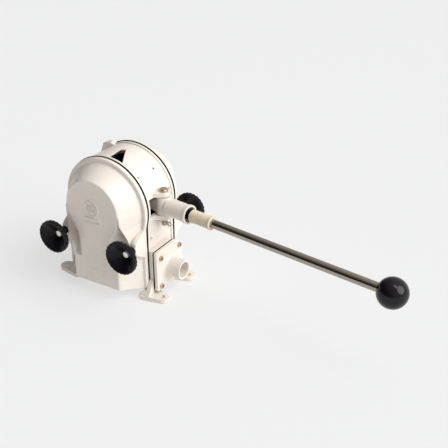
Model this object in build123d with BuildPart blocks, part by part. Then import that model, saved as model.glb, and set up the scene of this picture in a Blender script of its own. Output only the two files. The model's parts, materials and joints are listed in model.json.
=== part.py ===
from build123d import *
import math
import os

# Double-acting diaphragm bilge pump with a side lever.
# Millimetres, +Z up. The origin is the centre of the four foot holes on the base plane.
# +X points to the lever and the inlet, -Y to the front cover. The lever rests swung to the front.

# Casing
ring_height = 176          # drum axis above the base
ring_radius = 90           # flanges of the drum
case_half_width = 85       # straight sides below the drum
case_bottom = 16           # underside of the casing
case_corner = 7            # lower corners of the casing outline
case_blend = 60            # where the drum's circle runs into the straight side
face_plane = 42            # joint faces of the body, in front and behind
flange_thickness = 6
flange_step = 2            # flange stands proud of the drum wall
drum_bore = 81             # dry cavity around the drive
opening_radius = 68        # round opening under each diaphragm
dry_floor = 98             # floor of the dry cavity
plenum_top = 90
plenum_bottom = 22
wall_half = 4              # half the wall between the two plenums
side_inner = 78            # inner face of the casing's sides
cavity_half = face_plane - flange_thickness

# Feet
hole_x = 115.5
hole_y = 45.5
foot_hole_radius = 4.75
foot_radius = 13
foot_thickness = 8
foot_toe = (80, 57)        # centre of the pad's round front inner corner
foot_heel = (80, 32)
foot_corner = 8
# each stretch of a buttress: its lower level and rectangle there, its upper level and rectangle;
# a rectangle is inner x, outer x, inner y, outer y. The web stays outside the cover's flange.
buttress_foot = (7, (73, 94.6, 29, 63), 15.6, (79, 94.6, 29, 57))
buttress_web = (15.5, (85.4, 94.6, 29, 57), 35, (85.4, 93, 29, 43))

# Lever pivot
pivot_x = 95
slot_above = 20.5          # top of the slot and underside of the upper lug, above the drum axis
slot_below = 16            # bottom of the slot and top of the lower lug, below the drum axis
lug_nose = 12
upper_lug = 8
lower_lug = 10
lug_root_half = 26
lug_root_x = 74
lug_root_depth = 4
pin_radius = 6
pin_head_radius = 8.3
pin_head = 5
pin_head_round = 2.2
pin_chamfer = 1
pivot_washer_radius = 9.3
pin_tail = 15              # pin below the lower lug
split_drop = 11            # split pin below the lower lug
split_radius = 1.5
split_reach = 8.3
split_eye = 3.6            # radius of the eye's centre line
slot_half_width = 33       # opening in the drum wall for the lever
slot_start = 73            # the slot is cut outward from inside the drum wall
rest_angle = -8.45         # lever swung to the front
arm_length = 95
drive_shift = -arm_length * math.sin(math.radians(rest_angle))

# Lever
hub_radius = 15.3
hub_above = 19             # hub's top above the lever's line
hub_below = 14.5
bush_flange = 1.2
bush_flange_radius = 9
bush_radius = 8
bush_gap = 0.5             # half the gap between the two bushes
socket_radius = 16.8
socket_end = 63
collar_radius = 17.9
collar_length = 5
cup_radius = 14.4
cup_depth = 12
socket_bore = 9.8
socket_bottom = 24
arm_half_height = 12
arm_root = 10              # centre of the arm's wide end, inward from the pivot
arm_root_radius = 12
arm_tip_radius = 5
fork_gap = 16
fork_depth = 14
roller_radius = 9
roller_height = 15
roller_pin_radius = 3

# Handle, measured outward from the pivot
sleeve_radius = 12
sleeve_neck = 69           # the plain shank inside the socket ends here
sleeve_start = 26
sleeve_end = 115.5
shank_radius = 9.6
sleeve_flange_radius = 13.2
sleeve_flange = 3
sleeve_rib_pitch = 3.6
sleeve_rib = 0.5            # how far each rib stands proud
tube_radius = 8
tube_wall = 1.5
tube_start = 30
ball_distance = 469
ball_radius = 25.5
ball_flat = 22             # flat face where the tube enters
insert_radius = 11
insert_length = 20
tube_end = ball_distance - ball_flat + insert_length

# Drive between the diaphragms
cheek_inner = 9.5
cheek = 8
yoke_half_height = 16
yoke_open_x = 12
yoke_web_inner = -14
yoke_web_outer = -22
yoke_round = 2
plate_radius = 41
plate_thickness = 4
plate_boss = 13
plate_round = 1.5
bolt_radius = 5
bolt_head_radius = 9.5
bolt_head = 6
bolt_tip = 10.5            # bolt's inner end, measured from the yoke's centre
shaft_clearance = 0.05

# Diaphragms
rubber = 2
band_outer = 67
band_inner = 43
band_bulge = 5             # rolling band's middle stands out from the line between its edges
port_margin = 0.5          # the rubber stops short of each port by this

# Covers
cover_flange = 8
cover_rim_round = 3
dome_foot = 81             # radius of the dome where it meets the flange
foot_half = 78             # half width of its straight sides
foot_low = 18              # their lower end
foot_bend = (70, 105)
foot_shoulder = -28        # the sides join the circle here, from the drum axis
face_radius = 58
face_centre = 4            # face circle's centre above the drum axis
face_half_low = 50         # half width of the raised front at its flared lower end
face_low = 25
neck_half = 32
neck_span = (77, 104)      # lower and upper end of the straight neck
face_shoulder = -36        # the neck joins the face circle here, from the drum axis
chamber_inset = 13         # joint-face outline of the chamber inside the dome's foot
cover_depth = 50           # joint face to the raised front
cover_wall = 5
seat_outline = [(44, 153), (73, 134), (74, 113), (61, 79), (43, 70), (20, 110)]
seat_foot = [(40, 165), (80.5, 150), (81, 112), (80, 70), (40, 50), (15, 110)]
pocket_outline = [(46, 151), (67.5, 125), (67.5, 106), (52, 76), (38, 70), (15, 110)]
overlap = 1                # depth by which joined stretches of one casting run into each other
seat_depth = 38            # knob seat beyond the joint face
stud_x = 77.7
stud_height = 115.2
stud_radius = 4
stud_hole = 4.5
stud_boss = 9.5
stud_boss_start = 16       # inner end of each boss in the casing
stud_boss_height = 38      # height over which a boss is trimmed flush with the casing's side
stud_inner = 18            # inner end of each stud
stud_outer = 100.5
stud_pin_y = 28.3
stud_pin_radius = 2
stud_pin_recess = 3.5      # radius of the hole in the casing's side over each cross pin
stud_pin_sunk = 3          # cross pin's outer end inside the casing's widest part
stud_pin_length = 11.8

# Knobs
knob_front = 117.7         # rim's front face
knob_radius = 32.3
knob_rim = 8.5
knob_hub = 8.2
knob_lobes = 24
scallop_radius = 3.4
scallop_circle = 34.2
knob_lip = 27.3
knob_round = 1.2
knob_dish = 16.7           # conical dish, its bottom showing the insert and the stud's end
knob_dish_floor = 7
knob_under = (24.3, 106.4)
knob_neck = (12.2, 99)
knob_back = 95             # where the rim's cone meets the hub
knob_insert_radius = 6
knob_insert = 18.5
washer_thickness = 2
washer_radius = 8.4

# Valves
port_x = 33
port_z = 61
port_width = 40
port_height = 50
seat_fit = 0.2
seat_thickness = 8
valve_width = 28
valve_opening = 34
valve_opening_z = 58
flap_width = 32
flap_height = 45
flap_thickness = 2
flap_gap = 0.4
flap_pin_drop = 3          # hinge pin below the top of the seat
flap_pin_radius = 1.2
flap_barrel = 2.2
ear_thickness = 2.5
ear_gap = 0.4
ear_height = 7
ear_reach = 5.2
ear_drop = 0.5             # ear's middle below the hinge pin
flap_corner = 4
flap_pin_offset = 2.6      # hinge pin in front of the seat's face

# Hose manifolds
pad_face = 95
manifold_gasket = 2.5
manifold_plate = 6.5
manifold_half = 43
manifold_bottom = 12
manifold_top = 95
manifold_slope = (22, 80)  # the rear top corner is cut off between this y and this z
manifold_corner = 4
manifold_round = 1.5       # rounding of the plate's outer edge
hose_height = 48.7
hose_radius = 19
hose_bore = 15.5
hose_end = 135.5
hose_root = 6
screw_y = 31
screw_low = 20.3
screw_high = 80.3
screw_radius = 3
screw_head = 5
screw_head_height = 3.5
screw_length = 22
screw_hole_depth = 14      # in the casing's pads
screw_socket = 2.5         # hexagon socket's corner radius
screw_socket_depth = 2.4
screw_places = [(y, z) for y in (-screw_y, screw_y) for z in (screw_low, screw_high)]

# Drum details
window = [(1, -35.5), (-2, 5.4), (7.3, 10), (31, -33), (31, -35.5)]
window_relief = [(-8, -35.5), (-8, 9), (-2, 19), (12, 19), (13, 5), (13, -35.5)]
window_lip = 2.5           # wall left around the window over its relief
service_hole_angle = 43.5
service_holes = (-33.4, 14.6)
service_hole_radius = 2.3
ear_outline = [(-73, 49), (-60, 81), (-46, 84), (-32, 80), (-56, 58)]  # from the drum axis
ear_round = 3
ear_depth = 13
ear_hole = (-47, 33)
ear_hole_radius = 2
ear_hole_depth = 14           # below the flanges' highest line

SIDES = ((-1, "front"), (1, "rear"))
HANDS = ((1, "right"), (-1, "left"))
gasket_plane = face_plane + rubber
cover_face = gasket_plane + cover_depth - rubber
seat_plane = face_plane + seat_depth
lug_top = ring_height + slot_above + upper_lug
lug_under = ring_height - slot_below - lower_lug
hub_height = hub_above + hub_below
lever_axis = (math.cos(math.radians(rest_angle)), math.sin(math.radians(rest_angle)), 0)


def across(y):
    """Upright plane at this y, drawn with X to the right and Z up."""
    return Plane(origin=(0, y, 0), x_dir=(1, 0, 0), z_dir=(0, -1, 0))


def lever_plane(distance):
    """Plane square to the lever at a distance from its pivot."""
    origin = (pivot_x + distance * lever_axis[0], distance * lever_axis[1], ring_height)
    return Plane(origin=origin, x_dir=(0, 0, 1), z_dir=lever_axis)


def lever_plan(height):
    """Level plane with its origin on the pivot and its X along the lever."""
    return Plane(origin=(pivot_x, 0, height), x_dir=lever_axis, z_dir=(0, 0, 1))


def case_outline(inset):
    """Drum circle joined to the straight-sided lower box."""
    with Locations((0, ring_height)):
        Circle(ring_radius - inset)
    bottom = case_bottom + inset
    with Locations((0, (bottom + ring_height) / 2)):
        Rectangle(2 * (case_half_width - inset), ring_height - bottom)
    fillet(vertices().group_by(Axis.Y)[1], case_blend)
    fillet(vertices().group_by(Axis.Y)[0], case_corner)


def manifold_outline(half):
    """Hose flange: its rear top corner is cut off, the others are rounded."""
    slope_y, slope_z = manifold_slope
    low_corners = [(-half, manifold_bottom), (half, manifold_bottom)]
    high_corners = [(half, slope_z), (slope_y, manifold_top), (-half, manifold_top)]
    Polygon(*low_corners, *high_corners, align=None)
    fillet(vertices(), manifold_corner)


def dome_line(half_low, low, half_neck, neck_low, neck_high, shoulder, radius, centre):
    """Closed outline: flared foot, straight neck and round head, mirrored left to right."""
    join_z = ring_height + shoulder
    head_z = ring_height + centre
    join_x = math.sqrt(radius**2 - (join_z - head_z) ** 2)
    right = [(half_low, low), (half_neck, neck_low), (half_neck, neck_high), (join_x, join_z)]
    left = [(-x, z) for x, z in reversed(right)]
    with BuildLine() as outline:
        Polyline(*right)
        ThreePointArc(right[-1], (0, head_z + radius), left[0])
        Polyline(*left)
        Line(left[-1], right[0])
    make_face(outline.edges())


def dome_foot_outline(inset):
    """Dome where it rises from the cover's flange."""
    side = foot_half - inset
    dome_line(side, foot_low + inset, side, *foot_bend, foot_shoulder, dome_foot - inset, 0)


def dome_face_outline(inset):
    """Keyhole-shaped raised front of the dome."""
    dome_line(
        face_half_low - inset, face_low + inset, neck_half - inset, *neck_span,
        face_shoulder, face_radius - inset, face_centre)


os.makedirs("parts", exist_ok=True)

# Body casting ---------------------------------------------------------------------------------

with BuildPart() as body_casting:
    with BuildSketch(across(face_plane)):
        case_outline(flange_step)
    extrude(amount=2 * face_plane)
    with BuildSketch(across(face_plane), across(flange_thickness - face_plane)):
        case_outline(0)
    extrude(amount=flange_thickness)

    # pads for the hose manifolds
    with BuildSketch(Plane.YZ.offset(-pad_face)):
        manifold_outline(face_plane - 0.5)
    extrude(amount=2 * pad_face)

    # lugs that carry the pivot pin, and the ear on the drum's other shoulder
    for base, height in ((slot_above, upper_lug), (-slot_below - lower_lug, lower_lug)):
        with BuildSketch(Plane.XY.offset(ring_height + base)):
            with Locations((pivot_x, 0)):
                Circle(lug_nose)
            with Locations((lug_root_x, 0)):
                Rectangle(lug_root_depth, 2 * lug_root_half)
            make_hull()
        extrude(amount=height)
    with BuildSketch(across(face_plane)):
        Polygon(*[(x, ring_height + z) for x, z in ear_outline], align=None)
        fillet(vertices().sort_by(Axis.Y)[-2:], ear_round)
    extrude(amount=ear_depth)

    # feet: round pads with a buttress up to the lower corner of the casing
    for side_x in (1, -1):
        for side_y in (1, -1):
            with BuildSketch():
                with Locations((side_x * hole_x, side_y * hole_y)):
                    Circle(foot_radius)
                for x, y in (foot_toe, foot_heel):
                    with Locations((side_x * x, side_y * y)):
                        Circle(foot_corner)
                make_hull()
            extrude(amount=foot_thickness)
            for low, low_box, high, high_box in (buttress_foot, buttress_web):
                for level, (inner, outer, back, front) in ((low, low_box), (high, high_box)):
                    with BuildSketch(Plane.XY.offset(level)):
                        with Locations((side_x * (inner + outer) / 2, side_y * (back + front) / 2)):
                            Rectangle(outer - inner, front - back)
                loft()

    # dry cavity around the drive, the two plenums below it and the openings in both faces
    with BuildSketch(across(cavity_half)):
        with Locations((0, ring_height)):
            Circle(drum_bore)
        with Locations((0, (dry_floor + ring_height) / 2)):
            Rectangle(2 * side_inner, ring_height - dry_floor)
        plenum_width = side_inner - wall_half
        plenum_x = wall_half + plenum_width / 2
        plenum_z = (plenum_bottom + plenum_top) / 2
        with Locations((plenum_x, plenum_z), (-plenum_x, plenum_z)):
            Rectangle(plenum_width, plenum_top - plenum_bottom)
    extrude(amount=2 * cavity_half, mode=Mode.SUBTRACT)
    with BuildSketch(across(face_plane)):
        with Locations((0, ring_height)):
            Circle(opening_radius)
        with Locations((port_x, port_z), (-port_x, port_z)):
            Rectangle(port_width + 2 * seat_fit, port_height + 2 * seat_fit)
    extrude(amount=2 * face_plane, mode=Mode.SUBTRACT)

    # bosses for the cover studs, their bores and the cross pins
    for y, depth in ((-stud_boss_start, 1), (stud_boss_start, -1)):
        with BuildSketch(across(y)):
            with Locations((stud_x, stud_height), (-stud_x, stud_height)):
                Circle(stud_boss)
        extrude(amount=depth * (face_plane - abs(y)))
    for hand in (1, -1):
        with BuildSketch(Plane.YZ.offset(hand * (case_half_width - flange_step))):
            with Locations((0, stud_height)):
                Rectangle(2 * cavity_half, stud_boss_height)
        extrude(amount=hand * stud_boss, mode=Mode.SUBTRACT)
        for y in (-face_plane, cavity_half):
            with BuildSketch(across(y + flange_thickness)):
                with Locations((hand * (case_half_width + stud_boss / 2), stud_height)):
                    Rectangle(stud_boss, stud_boss_height)
            extrude(amount=flange_thickness, mode=Mode.SUBTRACT)
    for y, depth in ((-stud_inner, 1), (stud_inner, -1)):
        with BuildSketch(across(y)):
            with Locations((stud_x, stud_height), (-stud_x, stud_height)):
                Circle(stud_radius + shaft_clearance)
        extrude(amount=depth * face_plane, mode=Mode.SUBTRACT)
    for hand in (1, -1):
        for radius, inward in (
            (stud_pin_radius + shaft_clearance, stud_pin_sunk + stud_pin_length),
            (stud_pin_recess, stud_pin_sunk),
        ):
            with BuildSketch(Plane.YZ.offset(hand * (case_half_width - inward))):
                with Locations((stud_pin_y, stud_height), (-stud_pin_y, stud_height)):
                    Circle(radius)
            extrude(amount=hand * (inward + overlap), mode=Mode.SUBTRACT)

    # hose passages and screw holes in the manifold pads
    for hand in (1, -1):
        with BuildSketch(Plane.YZ.offset(hand * pad_face)):
            with Locations((0, hose_height)):
                Circle(hose_bore)
        extrude(amount=-hand * (pad_face - side_inner + overlap), mode=Mode.SUBTRACT)
        with BuildSketch(Plane.YZ.offset(hand * pad_face)):
            with Locations(*screw_places):
                Circle(screw_radius + shaft_clearance)
        extrude(amount=-hand * screw_hole_depth, mode=Mode.SUBTRACT)

    # slot for the lever, pivot bore and window in the drum's top
    with BuildSketch(Plane.YZ.offset(slot_start)):
        with Locations((0, ring_height + (slot_above - slot_below) / 2)):
            Rectangle(2 * slot_half_width, slot_above + slot_below)
    extrude(amount=pivot_x + lug_nose - slot_start, mode=Mode.SUBTRACT)
    with BuildSketch(Plane.XY.offset(lug_under - overlap)):
        with Locations((pivot_x, 0)):
            Circle(pin_radius + shaft_clearance)
    extrude(amount=lug_top - lug_under + 2 * overlap, mode=Mode.SUBTRACT)
    with BuildSketch(Plane.XY.offset(ring_height + opening_radius)):
        Polygon(*window, align=None)
    extrude(amount=ring_radius - opening_radius, mode=Mode.SUBTRACT)
    with BuildSketch(Plane.XY.offset(ring_height + opening_radius)):
        Polygon(*window_relief, align=None)
    extrude(amount=ring_radius - flange_step - window_lip - opening_radius, mode=Mode.SUBTRACT)

    # small service holes on the drum's shoulder and the foot bolt holes
    for y in service_holes:
        slope = Plane(origin=(0, y, ring_height), x_dir=(0, 1, 0), z_dir=(
            math.cos(math.radians(service_hole_angle)), 0, math.sin(math.radians(service_hole_angle))))
        with BuildSketch(slope.offset(drum_bore - overlap)):
            Circle(service_hole_radius)
        extrude(amount=ring_radius - drum_bore + overlap, mode=Mode.SUBTRACT)
    with BuildSketch(Plane.XY.offset(ring_height + ring_radius)):
        with Locations(ear_hole):
            Circle(ear_hole_radius)
    extrude(amount=-ear_hole_depth, mode=Mode.SUBTRACT)
    with BuildSketch():
        with GridLocations(2 * hole_x, 2 * hole_y, 2, 2):
            Circle(foot_hole_radius)
    extrude(amount=foot_thickness, mode=Mode.SUBTRACT)
body_casting.part.label = "body_casting"

# Covers ---------------------------------------------------------------------------------------

with BuildPart() as front_cover:
    with BuildSketch(across(-gasket_plane)):
        case_outline(0)
    extrude(amount=cover_flange)
    flange_rim = front_cover.faces().sort_by(Axis.Y)[0].edges()
    fillet(flange_rim, cover_rim_round)
    # shoulders that carry the knob seats, each with a scooped pocket beside the neck
    for hand in (1, -1):
        with BuildSketch(across(overlap - gasket_plane - cover_flange)):
            Polygon(*[(hand * x, z) for x, z in seat_foot], align=None)
        with BuildSketch(across(-seat_plane)):
            Polygon(*[(hand * x, z) for x, z in seat_outline], align=None)
        loft()
    with BuildSketch(across(-gasket_plane - cover_flange)):
        for hand in (1, -1):
            Polygon(*[(hand * x, z) for x, z in pocket_outline], align=None)
    extrude(amount=cover_depth, mode=Mode.SUBTRACT)
    for hand in (1, -1):
        with BuildSketch(across(-gasket_plane)):
            with Locations((hand * stud_x, stud_height)):
                Circle(washer_radius)
        extrude(amount=seat_plane - gasket_plane)
    # keyhole-shaped dome
    with BuildSketch(across(overlap - gasket_plane - cover_flange)):
        dome_foot_outline(0)
    with BuildSketch(across(-cover_face)):
        dome_face_outline(0)
    loft()
    # pumping chamber
    with BuildSketch(across(-gasket_plane)):
        dome_foot_outline(chamber_inset)
    with BuildSketch(across(cover_wall - cover_face)):
        dome_face_outline(cover_wall)
    loft(mode=Mode.SUBTRACT)
    with BuildSketch(across(-gasket_plane)):
        with Locations((stud_x, stud_height), (-stud_x, stud_height)):
            Circle(stud_hole)
    extrude(amount=cover_depth, mode=Mode.SUBTRACT)
front_cover.part.label = "front_cover"

with BuildPart() as rear_cover:
    add(mirror(front_cover.part, about=Plane.XZ, mode=Mode.PRIVATE))
rear_cover.part.label = "rear_cover"


# Diaphragms: each carries its cover's gasket, and its centre is clamped to the drive -------------

port_centres = [(hand * port_x, port_z) for hand, _ in HANDS]
stud_centres = [(hand * stud_x, stud_height) for hand, _ in HANDS]
drum_axis = Axis((0, 0, ring_height), (0, 1, 0))

for side, name in SIDES:
    near, far = side * face_plane, side * gasket_plane
    near_centre, far_centre = near + drive_shift, far + drive_shift
    band_middle = (band_outer + band_inner) / 2
    bulge = drive_shift / 2 + band_bulge * side
    with BuildPart() as diaphragm:
        with BuildSketch(across(near)):
            case_outline(0)
            with Locations((0, ring_height)):
                Circle(band_outer, mode=Mode.SUBTRACT)
            with Locations(*port_centres):
                Rectangle(port_width + 2 * port_margin, port_height + 2 * port_margin, mode=Mode.SUBTRACT)
            with Locations(*stud_centres):
                Circle(stud_hole, mode=Mode.SUBTRACT)
        extrude(amount=-side * rubber)
        with BuildSketch(Plane.YZ.offset(0)):
            with BuildLine(Plane.XY):
                top = ring_height + band_outer + overlap
                middle = ring_height + band_middle
                foot = ring_height + band_inner
                rim = ring_height + band_outer
                bore = ring_height + bolt_radius + shaft_clearance
                Polyline((far, rim), (far, top), (near, top), (near, rim))
                ThreePointArc((near, rim), (near + bulge, middle), (near_centre, foot))
                Polyline((near_centre, foot), (near_centre, bore), (far_centre, bore), (far_centre, foot))
                ThreePointArc((far_centre, foot), (far + bulge, middle), (far, rim))
            make_face()
        revolve(axis=drum_axis)
    diaphragm.part.label = f"{name}_diaphragm"
    export_step(diaphragm.part, f"parts/{name}_diaphragm.step")

    # clamp plates and centre bolt, measured outward from the yoke's centre
    with BuildPart() as inner_plate:
        with BuildSketch(across(drive_shift + side * (cheek_inner + cheek))):
            with Locations((0, ring_height)):
                Circle(plate_boss)
        extrude(amount=-side * (face_plane - cheek_inner - cheek))
        with BuildSketch(across(drive_shift + side * (face_plane - plate_thickness))):
            with Locations((0, ring_height)):
                Circle(plate_radius)
        extrude(amount=-side * plate_thickness)
        with BuildSketch(across(drive_shift)):
            with Locations((0, ring_height)):
                Circle(bolt_radius + shaft_clearance)
        extrude(amount=-side * gasket_plane, mode=Mode.SUBTRACT)
    inner_plate.part.label = f"{name}_inner_plate"
    export_step(inner_plate.part, f"parts/{name}_inner_plate.step")

    with BuildPart() as outer_plate:
        with BuildSketch(across(drive_shift + side * gasket_plane)):
            with Locations((0, ring_height)):
                Circle(plate_radius)
                Circle(bolt_radius + shaft_clearance, mode=Mode.SUBTRACT)
        extrude(amount=-side * plate_thickness)
        fillet(outer_plate.edges().filter_by(GeomType.CIRCLE).sort_by(SortBy.RADIUS)[-2:], plate_round)
    outer_plate.part.label = f"{name}_outer_plate"
    export_step(outer_plate.part, f"parts/{name}_outer_plate.step")

    with BuildPart() as centre_bolt:
        with BuildSketch(across(drive_shift + side * (gasket_plane + plate_thickness))):
            with Locations((0, ring_height)):
                RegularPolygon(bolt_head_radius, 6)
        extrude(amount=-side * bolt_head)
        with BuildSketch(across(drive_shift + side * bolt_tip)):
            with Locations((0, ring_height)):
                Circle(bolt_radius)
        extrude(amount=-side * (gasket_plane + plate_thickness - bolt_tip))
    centre_bolt.part.label = f"{name}_centre_bolt"
    export_step(centre_bolt.part, f"parts/{name}_centre_bolt.step")

# Drive yoke: a channel that opens towards the lever and slides with both diaphragms -------------

with BuildPart() as drive_yoke:
    with BuildSketch(Plane.XY.offset(ring_height - yoke_half_height)):
        with Locations(((yoke_open_x + yoke_web_outer) / 2, drive_shift)):
            Rectangle(yoke_open_x - yoke_web_outer, 2 * (cheek_inner + cheek))
        fillet(vertices(), yoke_round)
        with Locations(((2 * yoke_open_x + yoke_web_inner) / 2, drive_shift)):
            Rectangle(2 * yoke_open_x - yoke_web_inner, 2 * cheek_inner, mode=Mode.SUBTRACT)
    extrude(amount=2 * yoke_half_height)
    with BuildSketch(across(drive_shift - cheek_inner - cheek)):
        with Locations((0, ring_height)):
            Circle(bolt_radius + shaft_clearance)
    extrude(amount=-2 * (cheek_inner + cheek), mode=Mode.SUBTRACT)
drive_yoke.part.label = "drive_yoke"

# Lever ------------------------------------------------------------------------------------------

with BuildPart() as lever:
    with BuildSketch(lever_plan(ring_height - hub_below)):
        Circle(hub_radius)
    extrude(amount=hub_height)
    with BuildSketch(lever_plane(lug_nose + overlap)):
        Circle(socket_radius)
    extrude(amount=socket_end - lug_nose - overlap)
    with BuildSketch(lever_plane(socket_end - collar_length)):
        Circle(collar_radius)
    extrude(amount=collar_length)
    with BuildSketch(lever_plan(ring_height - arm_half_height)):
        with Locations((-arm_root, 0)):
            Circle(arm_root_radius)
        with Locations((-arm_length, 0)):
            Circle(arm_tip_radius)
        make_hull()
    extrude(amount=2 * arm_half_height)
    with BuildSketch(lever_plan(ring_height - fork_gap / 2)):
        with Locations((-arm_length, 0)):
            Rectangle(2 * fork_depth, 4 * arm_tip_radius)
    extrude(amount=fork_gap, mode=Mode.SUBTRACT)
    with BuildSketch(lever_plan(ring_height - arm_half_height)):
        with Locations((-arm_length, 0)):
            Circle(roller_pin_radius + shaft_clearance)
    extrude(amount=2 * arm_half_height, mode=Mode.SUBTRACT)
    with BuildSketch(lever_plan(ring_height - hub_below)):
        Circle(bush_radius)
    extrude(amount=hub_height, mode=Mode.SUBTRACT)
    with BuildSketch(lever_plane(socket_bottom)):
        Circle(socket_bore)
    extrude(amount=socket_end - socket_bottom, mode=Mode.SUBTRACT)
    with BuildSketch(lever_plane(socket_end - cup_depth)):
        Circle(cup_radius)
    extrude(amount=cup_depth, mode=Mode.SUBTRACT)
lever.part.label = "lever"

with BuildPart() as lever_bushes:
    for base, height, rim in (
        (bush_gap, hub_above - bush_gap, hub_above),
        (-hub_below, hub_below - bush_gap, -hub_below - bush_flange),
    ):
        with BuildSketch(lever_plan(ring_height + base)):
            Circle(bush_radius)
            Circle(pin_radius + shaft_clearance, mode=Mode.SUBTRACT)
        extrude(amount=height)
        with BuildSketch(lever_plan(ring_height + rim)):
            Circle(bush_flange_radius)
            Circle(pin_radius + shaft_clearance, mode=Mode.SUBTRACT)
        extrude(amount=bush_flange)
lever_bushes.part.label = "lever_bushes"

with BuildPart() as drive_roller:
    with BuildSketch(lever_plan(ring_height - roller_height / 2)):
        with Locations((-arm_length, 0)):
            Circle(roller_radius)
            Circle(roller_pin_radius + shaft_clearance, mode=Mode.SUBTRACT)
    extrude(amount=roller_height)
drive_roller.part.label = "drive_roller"

with BuildPart() as roller_pin:
    with BuildSketch(lever_plan(ring_height - arm_half_height)):
        with Locations((-arm_length, 0)):
            Circle(roller_pin_radius)
    extrude(amount=2 * arm_half_height)
roller_pin.part.label = "roller_pin"

# Pivot pin with its washer and split pin ----------------------------------------------------------

with BuildPart() as pivot_pin:
    with BuildSketch(Plane.XY.offset(lug_under - pin_tail)):
        with Locations((pivot_x, 0)):
            Circle(pin_radius)
    extrude(amount=lug_top - lug_under + pin_tail)
    with BuildSketch(Plane.XY.offset(lug_top)):
        with Locations((pivot_x, 0)):
            Circle(pin_head_radius)
    extrude(amount=pin_head)
    fillet(pivot_pin.edges().group_by(Axis.Z)[-1], pin_head_round)
    chamfer(pivot_pin.edges().group_by(Axis.Z)[0], pin_chamfer)
    with BuildSketch(Plane.YZ.offset(pivot_x - 2 * pin_radius)):
        with Locations((0, lug_under - split_drop)):
            Circle(split_radius + shaft_clearance)
    extrude(amount=4 * pin_radius, mode=Mode.SUBTRACT)
pivot_pin.part.label = "pivot_pin"

with BuildPart() as pivot_washer:
    with BuildSketch(Plane.XY.offset(lug_under - washer_thickness)):
        with Locations((pivot_x, 0)):
            Circle(pivot_washer_radius)
            Circle(pin_radius + 2 * shaft_clearance, mode=Mode.SUBTRACT)
    extrude(amount=washer_thickness)
pivot_washer.part.label = "pivot_washer"

with BuildPart() as split_pin:
    with BuildSketch(Plane.YZ.offset(pivot_x - split_reach)):
        with Locations((0, lug_under - split_drop)):
            Circle(split_radius)
    extrude(amount=2 * split_reach)
    eye_centre = (pivot_x + split_reach + split_eye - split_radius / 2, 0, lug_under - split_drop)
    with BuildSketch(Plane(origin=eye_centre, x_dir=(1, 0, 0), z_dir=(0, 0, 1))):
        with Locations((split_eye, 0)):
            Circle(split_radius)
    revolve(axis=Axis(eye_centre, (0, 1, 0)))
split_pin.part.label = "split_pin"

# Handle: sleeve, tube and ball -------------------------------------------------------------------

with BuildPart() as handle_sleeve:
    with BuildSketch(lever_plane(sleeve_start)):
        Circle(shank_radius)
    extrude(amount=sleeve_neck - sleeve_start)
    with BuildSketch(lever_plane(sleeve_neck)):
        Circle(sleeve_radius)
    extrude(amount=sleeve_end - sleeve_neck)
    with BuildSketch(lever_plane(sleeve_end - sleeve_flange)):
        Circle(sleeve_flange_radius)
    extrude(amount=sleeve_flange)
    rib = sleeve_neck + sleeve_rib_pitch
    while rib < sleeve_end - 2 * sleeve_flange:
        with BuildSketch(lever_plane(rib)):
            Circle(sleeve_radius + sleeve_rib)
        extrude(amount=sleeve_rib_pitch / 2)
        rib += sleeve_rib_pitch
    with BuildSketch(lever_plane(sleeve_start)):
        Circle(tube_radius + shaft_clearance)
    extrude(amount=sleeve_end - sleeve_start, mode=Mode.SUBTRACT)
handle_sleeve.part.label = "handle_sleeve"

with BuildPart() as handle_tube:
    with BuildSketch(lever_plane(tube_start)):
        Circle(tube_radius)
        Circle(tube_radius - tube_wall, mode=Mode.SUBTRACT)
    extrude(amount=tube_end - tube_start)
handle_tube.part.label = "handle_tube"

with BuildPart() as handle_ball:
    with Locations(lever_plane(ball_distance)):
        Sphere(ball_radius)
    with BuildSketch(lever_plane(ball_distance - 2 * ball_radius)):
        Circle(ball_radius)
    extrude(amount=2 * ball_radius - ball_flat, mode=Mode.SUBTRACT)
    with BuildSketch(lever_plane(ball_distance - ball_flat)):
        Circle(insert_radius)
    extrude(amount=insert_length, mode=Mode.SUBTRACT)
handle_ball.part.label = "handle_ball"

with BuildPart() as ball_insert:
    with BuildSketch(lever_plane(ball_distance - ball_flat)):
        Circle(insert_radius)
        Circle(tube_radius + shaft_clearance, mode=Mode.SUBTRACT)
    extrude(amount=insert_length)
ball_insert.part.label = "ball_insert"

# Flap valves: the inlet flaps open into the chambers, the outlet flaps into the outlet plenum ----

pin_z = port_z + port_height / 2 - flap_pin_drop
with BuildPart() as valve_pins:
    for side, _ in SIDES:
        for hand, _ in HANDS:
            offset = flap_pin_offset if hand > 0 else -seat_thickness - flap_pin_offset
            half_length = flap_width / 2 + ear_gap + ear_thickness
            with BuildSketch(Plane.YZ.offset(hand * port_x - half_length)):
                with Locations((side * (face_plane + offset), pin_z)):
                    Circle(flap_pin_radius)
            extrude(amount=2 * half_length)
valve_pins.part.label = "valve_pins"

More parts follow.
